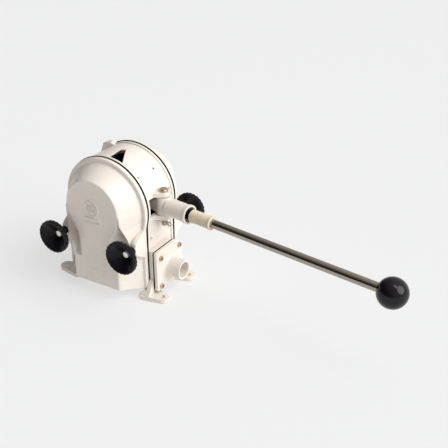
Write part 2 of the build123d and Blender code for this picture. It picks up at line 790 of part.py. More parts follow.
for side, end in SIDES:
    for hand, _ in HANDS:
        way = "inlet" if hand > 0 else "outlet"
        centre_x = hand * port_x
        # the flap lies on the chamber side of an inlet seat and on the plenum side of an outlet seat
        flap_side = side if hand > 0 else -side
        flap_face = side * face_plane if hand > 0 else side * (face_plane - seat_thickness)
        pin_y = flap_face + flap_side * flap_pin_offset
        with BuildPart() as valve_seat:
            with BuildSketch(across(side * face_plane)):
                with Locations((centre_x, port_z)):
                    Rectangle(port_width, port_height)
                with Locations((centre_x, valve_opening_z)):
                    Rectangle(valve_width, valve_opening, mode=Mode.SUBTRACT)
            extrude(amount=side * seat_thickness)
            with BuildSketch(across(flap_face)):
                ear_offset = flap_width / 2 + ear_gap + ear_thickness / 2
                for ear_x in (centre_x - ear_offset, centre_x + ear_offset):
                    with Locations((ear_x, pin_z - ear_drop)):
                        Rectangle(ear_thickness, ear_height)
            extrude(amount=-flap_side * ear_reach)
            with BuildSketch(Plane.YZ.offset(centre_x - port_width / 2)):
                with Locations((pin_y, pin_z)):
                    Circle(flap_pin_radius + shaft_clearance)
            extrude(amount=port_width, mode=Mode.SUBTRACT)
        valve_seat.part.label = f"{way}_seat_{end}"
        export_step(valve_seat.part, f"parts/{way}_seat_{end}.step")

        with BuildPart() as valve_flap:
            with BuildSketch(across(flap_face + flap_side * flap_gap)):
                with Locations((centre_x, pin_z - flap_height / 2)):
                    Rectangle(flap_width, flap_height)
                fillet(vertices().group_by(Axis.Y)[0], flap_corner)
            extrude(amount=-flap_side * flap_thickness)
            with BuildSketch(Plane.YZ.offset(centre_x - flap_width / 2)):
                with Locations((pin_y, pin_z)):
                    Circle(flap_barrel)
            extrude(amount=flap_width)
            with BuildSketch(Plane.YZ.offset(centre_x - flap_width / 2)):
                with Locations((pin_y, pin_z)):
                    Circle(flap_pin_radius + shaft_clearance)
            extrude(amount=flap_width, mode=Mode.SUBTRACT)
        valve_flap.part.label = f"{way}_flap_{end}"
        export_step(valve_flap.part, f"parts/{way}_flap_{end}.step")

# Hose manifolds, their gaskets and screws -----------------------------------------------------------

plate_face = pad_face + manifold_gasket + manifold_plate
for hand, name in ((1, "inlet"), (-1, "outlet")):
    with BuildPart() as gasket:
        with BuildSketch(Plane.YZ.offset(hand * pad_face)):
            manifold_outline(manifold_half)
            with Locations((0, hose_height)):
                Circle(hose_bore, mode=Mode.SUBTRACT)
            with Locations(*screw_places):
                Circle(screw_radius + shaft_clearance, mode=Mode.SUBTRACT)
        extrude(amount=hand * manifold_gasket)
    gasket.part.label = f"{name}_gasket"
    export_step(gasket.part, f"parts/{name}_gasket.step")

    with BuildPart() as manifold:
        with BuildSketch(Plane.YZ.offset(hand * (pad_face + manifold_gasket))):
            manifold_outline(manifold_half)
        extrude(amount=hand * manifold_plate)
        fillet(manifold.faces().sort_by(Axis.X)[-1 if hand > 0 else 0].edges(), manifold_round)
        with BuildSketch(Plane.YZ.offset(hand * (plate_face - overlap))):
            with Locations((0, hose_height)):
                Circle(hose_radius)
        extrude(amount=hand * (hose_end - plate_face + overlap))
        rims = manifold.edges().filter_by(GeomType.CIRCLE).filter_by(
            lambda edge: abs(edge.radius - hose_radius) < shaft_clearance)
        fillet(rims.sort_by(Axis.X)[0 if hand > 0 else -1], hose_root)
        with BuildSketch(Plane.YZ.offset(hand * pad_face)):
            with Locations((0, hose_height)):
                Circle(hose_bore)
        extrude(amount=hand * (hose_end - pad_face), mode=Mode.SUBTRACT)
        with BuildSketch(Plane.YZ.offset(hand * pad_face)):
            with Locations(*screw_places):
                Circle(screw_radius + 2 * shaft_clearance)
        extrude(amount=hand * 2 * manifold_plate, mode=Mode.SUBTRACT)
    manifold.part.label = f"{name}_manifold"
    export_step(manifold.part, f"parts/{name}_manifold.step")

    with BuildPart() as screws:
        with BuildSketch(Plane.YZ.offset(hand * plate_face)):
            with Locations(*screw_places):
                Circle(screw_head)
        extrude(amount=hand * screw_head_height)
        with BuildSketch(Plane.YZ.offset(hand * plate_face)):
            with Locations(*screw_places):
                Circle(screw_radius)
        extrude(amount=-hand * screw_length)
        with BuildSketch(Plane.YZ.offset(hand * (plate_face + screw_head_height))):
            with Locations(*screw_places):
                RegularPolygon(screw_socket, 6)
        extrude(amount=-hand * screw_socket_depth, mode=Mode.SUBTRACT)
    screws.part.label = f"{name}_screws"
    export_step(screws.part, f"parts/{name}_screws.step")

# Cover studs, their cross pins and the hand knobs -----------------------------------------------------

with BuildPart() as cover_studs:
    for side, _ in SIDES:
        with BuildSketch(across(side * stud_inner)):
            with Locations(*stud_centres):
                Circle(stud_radius)
        extrude(amount=-side * (stud_outer - stud_inner))
    with BuildSketch(Plane.YZ.offset(-case_half_width)):
        with Locations((stud_pin_y, stud_height), (-stud_pin_y, stud_height)):
            Circle(stud_pin_radius + shaft_clearance)
    extrude(amount=2 * case_half_width, mode=Mode.SUBTRACT)
cover_studs.part.label = "cover_studs"

with BuildPart() as stud_pins:
    for hand, _ in HANDS:
        with BuildSketch(Plane.YZ.offset(hand * (case_half_width - stud_pin_sunk))):
            with Locations((stud_pin_y, stud_height), (-stud_pin_y, stud_height)):
                Circle(stud_pin_radius)
        extrude(amount=-hand * stud_pin_length)
stud_pins.part.label = "stud_pins"

hub_end = seat_plane + washer_thickness
for side, end in SIDES:
    for hand, which in HANDS:
        knob_axis = Axis((hand * stud_x, 0, stud_height), (0, 1, 0))
        knob_plan = Plane(origin=(hand * stud_x, 0, stud_height), x_dir=(1, 0, 0), z_dir=(0, 0, 1))
        profile = [
            (0, knob_front - knob_dish),
            (knob_dish_floor, knob_front - knob_dish),
            (knob_lip, knob_front - knob_round),
            (knob_lip + knob_round, knob_front),
            (knob_radius - knob_round, knob_front),
            (knob_radius, knob_front - knob_round),
            (knob_radius, knob_front - knob_rim + knob_round),
            (knob_radius - knob_round, knob_front - knob_rim),
            knob_under,
            knob_neck,
            (knob_hub, knob_back),
            (knob_hub, hub_end),
            (0, hub_end),
        ]
        with BuildPart() as knob:
            with BuildSketch(knob_plan):
                Polygon(*[(r, side * y) for r, y in profile], align=None)
            revolve(axis=knob_axis)
            with BuildSketch(across(side * knob_front)):
                with Locations((hand * stud_x, stud_height)):
                    with PolarLocations(scallop_circle, knob_lobes):
                        Circle(scallop_radius)
            extrude(amount=side * (knob_rim + knob_round), mode=Mode.SUBTRACT)
            with BuildSketch(across(side * hub_end)):
                with Locations((hand * stud_x, stud_height)):
                    Circle(knob_insert_radius)
            extrude(amount=-side * (knob_front - hub_end), mode=Mode.SUBTRACT)
        knob.part.label = f"{end}_{which}_knob"
        export_step(knob.part, f"parts/{end}_{which}_knob.step")

        with BuildPart() as knob_insert_part:
            with BuildSketch(across(side * hub_end)):
                with Locations((hand * stud_x, stud_height)):
                    Circle(knob_insert_radius)
                    Circle(stud_radius + shaft_clearance, mode=Mode.SUBTRACT)
            extrude(amount=-side * knob_insert)
        knob_insert_part.part.label = f"{end}_{which}_knob_insert"
        export_step(knob_insert_part.part, f"parts/{end}_{which}_knob_insert.step")

        with BuildPart() as washer:
            with BuildSketch(across(side * seat_plane)):
                with Locations((hand * stud_x, stud_height)):
                    Circle(washer_radius)
                    Circle(stud_radius + shaft_clearance, mode=Mode.SUBTRACT)
            extrude(amount=-side * washer_thickness)
        washer.part.label = f"{end}_{which}_washer"
        export_step(washer.part, f"parts/{end}_{which}_washer.step")

single_pieces = (
    body_casting, front_cover, rear_cover, drive_yoke, lever, lever_bushes, drive_roller, roller_pin,
    pivot_pin, pivot_washer, split_pin, handle_sleeve, handle_tube, handle_ball, ball_insert,
    valve_pins, cover_studs, stud_pins)
for piece in single_pieces:
    export_step(piece.part, f"parts/{piece.part.label}.step")
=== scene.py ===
import json
import math

import bmesh
import bpy
import numpy as np
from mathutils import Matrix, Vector


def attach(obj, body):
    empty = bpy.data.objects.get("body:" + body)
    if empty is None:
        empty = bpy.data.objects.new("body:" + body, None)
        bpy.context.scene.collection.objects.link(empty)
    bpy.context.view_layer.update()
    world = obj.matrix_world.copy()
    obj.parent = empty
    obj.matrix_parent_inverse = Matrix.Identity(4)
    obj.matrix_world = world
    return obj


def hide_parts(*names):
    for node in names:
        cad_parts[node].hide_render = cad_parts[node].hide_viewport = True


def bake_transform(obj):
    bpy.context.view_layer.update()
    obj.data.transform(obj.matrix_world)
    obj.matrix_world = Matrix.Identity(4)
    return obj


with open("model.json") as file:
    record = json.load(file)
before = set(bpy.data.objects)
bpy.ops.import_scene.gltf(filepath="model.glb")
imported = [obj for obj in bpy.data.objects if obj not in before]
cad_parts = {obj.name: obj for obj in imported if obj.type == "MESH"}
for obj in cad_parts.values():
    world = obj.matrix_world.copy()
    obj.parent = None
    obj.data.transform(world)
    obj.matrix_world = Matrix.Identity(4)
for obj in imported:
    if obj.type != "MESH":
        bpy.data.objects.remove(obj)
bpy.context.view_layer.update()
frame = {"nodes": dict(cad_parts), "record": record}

# Pieces are drawn in millimetres, in the CAD model's frame, and made in metres by make().
NODES = frame["nodes"]
MM = 0.001
DRUM_Z = 176.0            # drum axis above the base
PIVOT_X = 95.0            # lever's pivot
REST_ANGLE = math.radians(-8.45)
DRIVE_SHIFT = -PIVOT_X * math.sin(REST_ANGLE)   # drive's travel off the middle at rest
STUD_X, STUD_Z = 77.7, 115.2
SIDES = ((-1, "front"), (1, "rear"))
HANDS = ((1, "right"), (-1, "left"))

# Covers: distances from the pump's middle plane, then sizes
JOINT_Y = 44.0            # joint face
FLANGE_Y = 52             # outer face of the flange
SEAT_Y = 80.0             # knob seats
COVER_Y = 92.0            # raised front
CHAMBER_END_Y = 87        # deepest point of the chamber
SEAT_RADIUS = 8.6
SEAT_SPREAD = 27          # how far a seat's boss runs out into the flank
SEAT_SQUEEZE = 2.5        # the boss runs out this much faster towards the pocket
RIM_ROUND = 3             # rounded outer edge of the flange
CENTRE_Z = -35            # middle of a cover's rings, from the drum axis
CASE_RADIUS = 90
CASE_HALF_WIDTH, CASE_HALF_HEIGHT, CASE_CORNER = 85, 80, 7
CASE_BLEND = 3.4          # where the drum's circle runs into the straight sides
WALL = 5
JOINT_WIDTH = 12          # joint face between the chamber and the outline
CHAMBER_REACH = 150
CHAMBER_SLOPE = 160       # how steeply the chamber's wall leaves the joint face
BOTTOM_Z, BOTTOM_RISE = -158, 7                 # bevel along the cover's lower edge
FACE_RADIUS, FACE_Z = 58, 4                     # round part of the raised front
FOOT_RADIUS = 81                                # round part of the dome's foot
CREST_DIP, CREST_DIP_Z, CREST_DIP_REACH, CREST_DIP_POWER = 12, -57, 46, 1.4   # shoulders' ridge
POCKET_SLOPE, POCKET_EDGE = 1.4, 1.2
OUTSIDE_SLOPE, FACE_SLOPE, BROW_SLOPE = 6, 10, 4          # run-out beyond the ruled flanks
BOSS_DROP = 32            # a seat's boss falls this far, to below the flange
# rounds where the surfaces meet
NECK_ROUND, FOOT_ROUND, BROW_ROUND = 6, 7, 9
CREST_ROUND, FRONT_ROUND, HOLLOW_ROUND, BEVEL_ROUND, BOSS_ROUND, FLANGE_ROUND = 3, 4.5, 1.5, 3, 6, 3.5
RIDGES_Z, RIDGE_WIDTH, RIDGE_HEIGHT, RIDGE_HALF = (-112, -119, -126, -133), 1.6, 0.5, 30
RIDGE_END_FADE = 6        # length over which a ridge runs out
# how far inside the front's edge ridges and badge begin, and over what width they grow
RIDGE_INSET, RIDGE_FADE, BADGE_INSET, BADGE_FADE = 4, 5, 2, 3
OUTLINE_REACH, OUTLINE_HALVINGS = 200.0, 40     # search for the casing's outline


# Materials --------------------------------------------------------------------------------------

def material(name, colour, roughness, metallic=0.0, coat=0.0, coat_roughness=0.1, specular=0.5):
    """A Principled material and its tree; the constants sit on the shader's own sockets."""
    made = bpy.data.materials.new(name)
    made.use_nodes = True
    tree = made.node_tree
    shader = tree.nodes["Principled BSDF"]
    shader.inputs["Base Color"].default_value = (*colour, 1)
    shader.inputs["Roughness"].default_value = roughness
    shader.inputs["Metallic"].default_value = metallic
    shader.inputs["Coat Weight"].default_value = coat
    shader.inputs["Coat Roughness"].default_value = coat_roughness
    shader.inputs["Specular IOR Level"].default_value = specular
    return made, tree, shader


def noise(tree, scale, detail=3.0, stretch=(1, 1, 1), rough=0.5):
    """Noise over a piece's own coordinates, which are the frame's; scale is in features per metre."""
    place = tree.nodes.new("ShaderNodeTexCoord")
    mapping = tree.nodes.new("ShaderNodeMapping")
    mapping.inputs["Scale"].default_value = stretch
    made = tree.nodes.new("ShaderNodeTexNoise")
    made.inputs["Scale"].default_value = scale
    made.inputs["Detail"].default_value = detail
    made.inputs["Roughness"].default_value = rough
    tree.links.new(place.outputs["Object"], mapping.inputs["Vector"])
    tree.links.new(mapping.outputs["Vector"], made.inputs["Vector"])
    return made.outputs["Fac"]


def remap(tree, value, low, high, out_low, out_high):
    """Value carried over from one range to another, clamped."""
    made = tree.nodes.new("ShaderNodeMapRange")
    made.inputs["From Min"].default_value = low
    made.inputs["From Max"].default_value = high
    made.inputs["To Min"].default_value = out_low
    made.inputs["To Max"].default_value = out_high
    tree.links.new(value, made.inputs["Value"])
    return made.outputs["Result"]


def mix(tree, factor, first, second):
    """Colour mix; first and second are colours or sockets."""
    made = tree.nodes.new("ShaderNodeMix")
    made.data_type = "RGBA"
    tree.links.new(factor, made.inputs["Factor"])
    for socket, value in ((made.inputs["A"], first), (made.inputs["B"], second)):
        if isinstance(value, tuple):
            socket.default_value = (*value, 1)
        else:
            tree.links.new(value, socket)
    return made.outputs["Result"]


def bump(tree, shader, height, strength, distance, edge=0.0):
    """Surface relief; edge is the radius in metres to which the light softens sharp edges."""
    made = tree.nodes.new("ShaderNodeBump")
    made.inputs["Strength"].default_value = strength
    made.inputs["Distance"].default_value = distance
    if edge:
        soft = tree.nodes.new("ShaderNodeBevel")
        soft.samples = 6
        soft.inputs["Radius"].default_value = edge
        tree.links.new(soft.outputs["Normal"], made.inputs["Normal"])
    tree.links.new(height, made.inputs["Height"])
    tree.links.new(made.outputs["Normal"], shader.inputs["Normal"])


def painted_shade_mask(tree, distance):
    """Ambient occlusion mask for painted shade: 0 in corners, 1 on open surfaces."""
    made = tree.nodes.new("ShaderNodeAmbientOcclusion")
    made.inputs["Distance"].default_value = distance
    made.samples = 8
    return made.outputs["AO"]


def edge_wear(tree):
    """1 on sharp outer edges."""
    made = tree.nodes.new("ShaderNodeNewGeometry")
    return remap(tree, made.outputs["Pointiness"], 0.52, 0.60, 0.0, 1.0)


def cast_enamel():
    """Gloss cream epoxy over a sand casting: orange peel, faint mottling, and painted shade that darkens it
    in the corners.
    """
    cream, pale = (0.81, 0.735, 0.655), (0.83, 0.765, 0.695)
    # corner is the colour of painted shade in corners and creases; grime is the colour of stains
    painted_corner_shade, grime = (0.62, 0.54, 0.46), (0.62, 0.56, 0.46)
    made, tree, shader = material("cast_enamel", (0.80, 0.73, 0.65), 0.32, coat=0.2, coat_roughness=0.12)
    mottle = remap(tree, noise(tree, 26, 4), 0.35, 0.65, 0, 1)
    base = mix(tree, mottle, cream, pale)
    # painted shade: ambient occlusion darkens the cream towards the corner colour in corners and creases
    shade = mix(tree, remap(tree, painted_shade_mask(tree, 0.008), 0.15, 0.75, 0, 1), painted_corner_shade, base)
    stains = remap(tree, noise(tree, 90, 6, rough=0.7), 0.60, 0.78, 0.0, 0.09)
    tree.links.new(mix(tree, stains, shade, grime), shader.inputs["Base Color"])
    tree.links.new(remap(tree, noise(tree, 60, 5), 0.3, 0.7, 0.24, 0.42), shader.inputs["Roughness"])
    height = tree.nodes.new("ShaderNodeMath")
    height.operation = "MULTIPLY_ADD"
    tree.links.new(noise(tree, 420, 2), height.inputs[0])
    height.inputs[1].default_value = 0.5
    tree.links.new(noise(tree, 110, 3), height.inputs[2])
    bump(tree, shader, height.outputs[0], 0.16, 0.0008, edge=0.0016)
    return made


def plain_metal(name, colour, roughness, spread, scale, stretch=(1, 1, 1), dark=0.6):
    """Bare metal with machining or brushing marks."""
    made, tree, shader = material(name, colour, roughness, metallic=1.0)
    marks = noise(tree, scale, 5, stretch, 0.6)
    uneven = remap(tree, marks, 0.3, 0.7, roughness - spread, roughness + spread)
    tree.links.new(uneven, shader.inputs["Roughness"])
    dull = tuple(c * dark for c in colour)
    bright = tuple(min(1, c * 1.25) for c in colour)
    age = remap(tree, noise(tree, 140, 5), 0.42, 0.72, 0.0, 0.55)
    worn = mix(tree, edge_wear(tree), mix(tree, age, colour, dull), bright)
    tree.links.new(worn, shader.inputs["Base Color"])
    bump(tree, shader, marks, 0.10, 0.0003)
    return made


def black_phenolic(name, specular, roughness, coat):
    """Moulded phenolic with faint flow marks and handling smears."""
    made, tree, shader = material(name, (0.010, 0.008, 0.011), roughness, coat=coat, coat_roughness=0.05,
                                  specular=specular)
    flow = remap(tree, noise(tree, 55, 4), 0.35, 0.7, 0, 1)
    tree.links.new(mix(tree, flow, (0.003, 0.003, 0.004), (0.012, 0.010, 0.014)), shader.inputs["Base Color"])
    smears = remap(tree, noise(tree, 160, 5), 0.35, 0.7, roughness - 0.04, roughness + 0.12)
    tree.links.new(smears, shader.inputs["Roughness"])
    bump(tree, shader, noise(tree, 300, 2), 0.06, 0.0003)
    return made


def black_rubber():
    """Dull black rubber with a faint pale bloom."""
    made, tree, shader = material("black_rubber", (0.008, 0.008, 0.008), 0.62, specular=0.12)
    bloom = remap(tree, noise(tree, 70, 5), 0.45, 0.75, 0.0, 0.5)
    bloomed = mix(tree, bloom, (0.004, 0.004, 0.004), (0.016, 0.015, 0.014))
    tree.links.new(bloomed, shader.inputs["Base Color"])
    tree.links.new(remap(tree, noise(tree, 220, 4), 0.3, 0.7, 0.50, 0.74), shader.inputs["Roughness"])
    bump(tree, shader, noise(tree, 900, 3), 0.25, 0.0003)
    return made


def moulded(name, low, high, roughness):
    """Plain moulded plastic with slight colour drift and a fine mould texture."""
    made, tree, shader = material(name, low, roughness)
    drift = remap(tree, noise(tree, 45, 4), 0.35, 0.68, 0, 1)
    tree.links.new(mix(tree, drift, low, high), shader.inputs["Base Color"])
    uneven = remap(tree, noise(tree, 250, 4), 0.3, 0.7, roughness - 0.08, roughness + 0.1)
    tree.links.new(uneven, shader.inputs["Roughness"])
    bump(tree, shader, noise(tree, 700, 3), 0.18, 0.0003)
    return made


MATERIALS = {
    "cast_enamel": cast_enamel(),
    "rubber": black_rubber(),
    "plate_aluminium": plain_metal("plate_aluminium", (0.62, 0.62, 0.63), 0.42, 0.12, 500),
    "stainless": plain_metal("stainless", (0.60, 0.59, 0.57), 0.30, 0.10, 600),
    "bronze_steel": plain_metal("bronze_steel", (0.46, 0.38, 0.31), 0.36, 0.10, 420, dark=0.45),
    "nylon": moulded("nylon", (0.78, 0.76, 0.70), (0.86, 0.84, 0.79), 0.45),
    "sleeve_plastic": moulded("sleeve_plastic", (0.66, 0.57, 0.43), (0.76, 0.67, 0.53), 0.46),
    "polished_tube": plain_metal("polished_tube", (0.37, 0.33, 0.29), 0.10, 0.04, 260, (0.06, 0.9, 1),
                                 dark=0.85),
    "black_plastic": black_phenolic("black_phenolic", 0.16, 0.26, 0.0),
    "brass": plain_metal("brass", (0.50, 0.46, 0.38), 0.34, 0.08, 500),
}
BALL_GLOSS = black_phenolic("ball_gloss", 0.22, 0.08, 0.12)
SLOT_OF = {row["node"]: row["material_slot"] for row in frame["record"]["subparts"]}


# Meshes -----------------------------------------------------------------------------------------

def put(name, data, location=(0, 0, 0), toward=None):
    """New object in the scene; a lamp or the camera looks along toward."""
    made = bpy.data.objects.new(name, data)
    made.location = location
    if toward:
        made.rotation_euler = Vector(toward).to_track_quat("-Z", "Y").to_euler()
    bpy.context.scene.collection.objects.link(made)
    return made


def make(name, points, faces, slot, body, *stands_for, angle=35):
    """Mesh piece from millimetre points; smooth except over sharp edges."""
    mesh = bpy.data.meshes.new(name)
    mesh.from_pydata((np.asarray(points, float) * MM).tolist(), [], [list(map(int, f)) for f in faces])
    mesh.validate()
    piece = put(name, mesh)
    finish_piece(piece, slot, angle)
    if body:
        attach(piece, body)
    if stands_for:
        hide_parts(*stands_for)
    return piece


def finish_piece(piece, slot, angle):
    """Clean mesh with smooth shading up to the angle, and the material of its slot."""
    work = bmesh.new()
    work.from_mesh(piece.data)
    bmesh.ops.remove_doubles(work, verts=work.verts, dist=1e-6)
    bmesh.ops.recalc_face_normals(work, faces=work.faces)
    for face in work.faces:
        face.smooth = True
    for edge in work.edges:
        edge.smooth = not (len(edge.link_faces) == 2 and edge.calc_face_angle(0) > math.radians(angle))
    work.to_mesh(piece.data)
    work.free()
    piece.data.materials.clear()
    piece.data.materials.append(MATERIALS[slot])


def grid_faces(rows, columns, closed=True):
    """Quads of a grid whose columns go round."""
    faces = []
    for i in range(rows - 1):
        for j in range(columns if closed else columns - 1):
            k = (j + 1) % columns
            near, far = i * columns, (i + 1) * columns
            faces.append((near + j, near + k, far + k, far + j))
    return faces


def lathe(name, profile, origin, axis, slot, body, *stands_for, around=96, shape=None, angle=35):
    """Turned piece. profile is a closed or open line of (distance along the axis, radius);
    shape(distance, radius, turn) may change the radius around the turn."""
    along = Vector(axis).normalized()
    side = along.orthogonal().normalized()
    up = along.cross(side)
    points = []
    for s, r in profile:
        for j in range(around):
            turn = 2 * math.pi * j / around
            radius = shape(s, r, turn) if shape else r
            spoke = side * math.cos(turn) + up * math.sin(turn)
            points.append(Vector(origin) + along * s + spoke * radius)
    faces = grid_faces(len(profile), around)
    return make(name, [tuple(p) for p in points], faces, slot, body, *stands_for, angle=angle)


def rounded(points, radius, steps=5):
    """Profile line with each inner corner rounded off."""
    out = [points[0]]
    for before, here, after in zip(points, points[1:], points[2:]):
        p, a, b = (np.array(q, float) for q in (here, before, after))
        u, v = a - p, b - p
        lu, lv = np.linalg.norm(u), np.linalg.norm(v)
        cut = min(radius, 0.45 * lu, 0.45 * lv)
        start, end = p + u / lu * cut, p + v / lv * cut
        for k in range(steps + 1):
            t = k / steps
            out.append(tuple((1 - t) ** 2 * start + 2 * t * (1 - t) * p + t**2 * end))
    out.append(points[-1])
    return out


# Covers -----------------------------------------------------------------------------------------

def smooth_max(a, b, k):
    """The greater value, with a round of size k where the two meet."""
    h = np.clip(0.5 + 0.5 * (a - b) / k, 0, 1)
    return b + (a - b) * h + k * h * (1 - h)


def smooth_min(a, b, k):
    return -smooth_max(-a, -b, k)


def polygon_distance(x, z, corners):
    """Signed distance to a closed polygon, negative inside."""
    best = np.full(np.shape(x), 1e9)
    inside = np.zeros(np.shape(x), bool)
    for (ax, az), (bx, bz) in zip(corners, corners[1:] + corners[:1]):
        ex, ez = bx - ax, bz - az
        t = np.clip(((x - ax) * ex + (z - az) * ez) / (ex * ex + ez * ez), 0, 1)
        best = np.minimum(best, np.hypot(x - ax - t * ex, z - az - t * ez))
        crosses = (az > z) != (bz > z)
        with np.errstate(divide="ignore", invalid="ignore"):
            inside ^= crosses & (x < ex * (z - az) / (ez if ez else 1e-9) + ax)
    return np.where(inside, -best, best)


def box_distance(x, z, half_width, half_height, painted_corner_shade):
    """Signed distance to a rectangle with round corners about the origin."""
    bx, bz = np.abs(x) - half_width + painted_corner_shade, np.abs(z) - half_height + painted_corner_shade
    return np.hypot(np.maximum(bx, 0), np.maximum(bz, 0)) + np.minimum(np.maximum(bx, bz), 0) - painted_corner_shade


def case_distance(x, z):
    """Signed distance to the casing's outline: drum circle and straight-sided box. z from the drum axis."""
    circle = np.hypot(x, z) - CASE_RADIUS
    box = box_distance(x, z + CASE_HALF_HEIGHT, CASE_HALF_WIDTH, CASE_HALF_HEIGHT, CASE_CORNER)
    return smooth_min(circle, box, CASE_BLEND)


def mirrored(half):
    """Closed outline from its right half, listed from bottom to top."""
    return half + [(-x, z) for x, z in reversed(half)]


# Outlines from the drum axis: the front's neck, the dome's foot, the shoulders' ridge, and the
# areas that the ridge bounds for the mound (BROW) and for the pockets in it (HOLLOW)
NECK = mirrored([(52, -200), (51, -110), (48, -101), (33, -97), (32.5, -72), (36, -50), (42, -36)])
FOOT = mirrored([(78, -200), (78, -60), (78, -22)])
SHOULDER = [(58.5, 0), (59.8, -11), (64.5, -28), (69, -42), (72, -53), (71, -65), (64, -81), (54, -97)]
BROW = [(0, 0)] + SHOULDER + [(51, -106), (52, -200), (0, -200)]
HOLLOW = [(0, 0)] + SHOULDER + [(46, -101), (0, -99)]


def face_distance(x, z):
    """Keyhole-shaped raised front."""
    return smooth_min(np.hypot(x, z - FACE_Z) - FACE_RADIUS, polygon_distance(x, z, NECK), NECK_ROUND)


def foot_distance(x, z):
    """Line where the dome rises from the flange."""
    return smooth_min(np.hypot(x, z) - FOOT_RADIUS, polygon_distance(x, z, FOOT), FOOT_ROUND)


def brow_distance(x, z):
    """Upper edge of the shoulders, which run into the face's own circle."""
    shoulders = polygon_distance(np.abs(x), z, BROW)
    return smooth_min(np.hypot(x, z - FACE_Z) - FACE_RADIUS, shoulders, BROW_ROUND)


def rise(low, high, least=0.5):
    """0 on the outer line, 1 on the inner one and more beyond it; the two are at least a little apart."""
    gap = low - high
    return low / np.where(np.abs(gap) < least, np.where(gap < 0, -least, least), gap)


def emblem(x, z):
    """Raised generic badge: a ring holding three waves, over an empty frame."""
    height, edge = 1.3, 0.5
    badge_z, ring_radius, wave_reach, wave_length, wave_height = 8.0, 15, 12.2, 11, 1.6
    plate_drop, plate_half, plate_corner = 24, (17, 4.5), 2.5

    def line(distance, half_width):
        return np.clip((half_width - np.abs(distance)) / edge, 0, 1)

    up = z - badge_z
    ring = line(np.hypot(x, up) - ring_radius, 1.0)
    waves = np.zeros(np.shape(x))
    for level in (-6, 0, 6):
        swell = wave_height * np.sin(x * 2 * math.pi / wave_length)
        waves = np.maximum(waves, line(up - level - swell, 0.9))
    waves *= np.clip((wave_reach - np.hypot(x, up)) / edge, 0, 1)
    plate = box_distance(x, up + plate_drop, *plate_half, plate_corner)
    return height * np.maximum(np.maximum(ring, waves), line(plate, 0.8))


def cover_height(x, z):
    """Distance of the cover's outer skin from the pump's middle plane. z from the drum axis."""
    side_x = np.abs(x)
    edge = np.clip(-case_distance(x, z) / RIM_ROUND, 0, 1)
    flange = FLANGE_Y - RIM_ROUND * (1 - np.sqrt(np.clip(1 - (1 - edge) ** 2, 0, 1)))
    foot, face, brow = foot_distance(x, z), face_distance(x, z), brow_distance(x, z)
    outside = -foot / OUTSIDE_SLOPE
    # dome ruled from its foot up to the front, and mound ruled up to the shoulders' ridge
    slope_face = np.where(face < 0, 1 - face / FACE_SLOPE, rise(foot, face))
    dome = FLANGE_Y + (COVER_Y - FLANGE_Y) * np.where(foot > 0, outside, slope_face)
    dip = np.clip(1 - np.abs(z - CREST_DIP_Z) / CREST_DIP_REACH, 0, 1)
    crest = COVER_Y - CREST_DIP * np.sin(dip * math.pi / 2) ** CREST_DIP_POWER
    slope_brow = np.where(brow < 0, 1 - brow / BROW_SLOPE, rise(foot, brow))
    mound = FLANGE_Y + (crest - FLANGE_Y) * np.where(foot > 0, outside, slope_brow)
    mound = smooth_min(mound, crest, CREST_ROUND)
    depth = np.maximum(-polygon_distance(side_x, z, HOLLOW) - POCKET_EDGE, 0)
    pocket = crest - POCKET_SLOPE * depth
    front = smooth_min(dome, np.full_like(x, COVER_Y), FRONT_ROUND)
    skin = smooth_max(front, np.minimum(mound, pocket), HOLLOW_ROUND)
    bevel = FLANGE_Y + (z - BOTTOM_Z) * (COVER_Y - FLANGE_Y) / BOTTOM_RISE
    skin = smooth_min(skin, bevel, BEVEL_ROUND)
    # knob seats, each on a boss that runs out softly on the side away from the pocket
    seat_x, seat_z = side_x - STUD_X, z - STUD_Z + DRUM_Z
    seat = np.hypot(seat_x, seat_z)
    squeeze = np.where(seat_x < 0, SEAT_SQUEEZE, 1.0)
    spread = np.clip((np.hypot(seat_x * squeeze, seat_z) - SEAT_RADIUS) / SEAT_SPREAD, 0, 1)
    boss = SEAT_Y - BOSS_DROP * spread**2 * (3 - 2 * spread)
    skin = np.where(seat < SEAT_RADIUS, SEAT_Y, smooth_max(skin, boss, BOSS_ROUND))
    skin = smooth_max(skin, flange, FLANGE_ROUND)
    # faint casting lines and the badge, both well inside the front
    ridges = sum(np.exp(-((z - level) / RIDGE_WIDTH) ** 2) for level in RIDGES_Z)
    flat = np.clip((-face - RIDGE_INSET) / RIDGE_FADE, 0, 1)
    skin = skin + RIDGE_HEIGHT * ridges * flat * np.clip((RIDGE_HALF - side_x) / RIDGE_END_FADE, 0, 1)
    return skin + emblem(x, z) * np.clip((-face - BADGE_INSET) / BADGE_FADE, 0, 1)


def ring_place(turns, radius):
    """x and z from the drum axis of points at an angle and radius about a cover's middle."""
    return np.cos(turns) * radius, CENTRE_Z + np.sin(turns) * radius


def case_ring(count, inset=0.0):
    """Points round the casing's outline, as angles about a cover's middle and radii."""
    turns = np.linspace(0, 2 * math.pi, count, endpoint=False)
    low, high = np.zeros(count), np.full(count, OUTLINE_REACH)
    for _ in range(OUTLINE_HALVINGS):
        mid = (low + high) / 2
        inside = case_distance(*ring_place(turns, mid)) < -inset
        low, high = np.where(inside, mid, low), np.where(inside, high, mid)
    return turns, low


